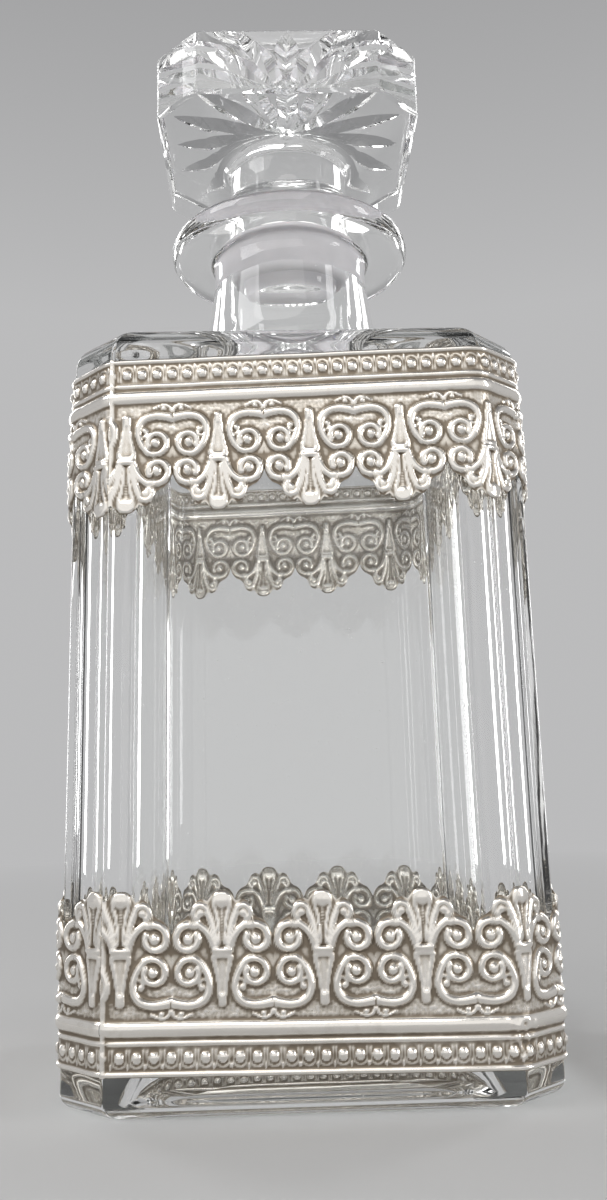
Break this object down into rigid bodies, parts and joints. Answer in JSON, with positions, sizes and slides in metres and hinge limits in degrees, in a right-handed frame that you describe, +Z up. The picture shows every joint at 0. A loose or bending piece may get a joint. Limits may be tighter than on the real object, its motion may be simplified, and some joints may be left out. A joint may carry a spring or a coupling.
{
  "type": "spirit decanter",
  "caption": "Square glass spirit decanter with cut corners, a plastic-sealed starburst stopper, and stamped silver-plated palmette bands round its foot and shoulder.",
  "frame": {"origin": "centre of the bottle's base, on the surface it stands on", "axes": "+Z up along the neck, -Y towards the face shown in front, +X to its right"},
  "size_m": [0.0932, 0.0932, 0.22],
  "materials": {
    "bottle_glass": "clear pressed glass, fire polished",
    "stopper_glass": "clear pressed glass",
    "seal_plastic": "milky soft polyethylene",
    "silver_plate": "stamped silver plate, toned dark in its recesses"
  },
  "bodies": {
    "bottle": {"bottle": "bottle_glass", "lower_band": "silver_plate", "upper_band": "silver_plate"},
    "seal": {"stopper_seal": "seal_plastic"},
    "stopper": {"stopper": "stopper_glass"}
  },
  "joints": [
    {"name": "stopper_lift", "type": "slide", "parent": "bottle", "child": "seal", "axis": [0, 0, 1], "range_m": [0, 0.04]},
    {"name": "stopper_turn", "type": "hinge", "parent": "seal", "child": "stopper", "pos_m": [0, 0, 0.18], "axis": [0, 0, 1], "continuous": true}
  ]
}
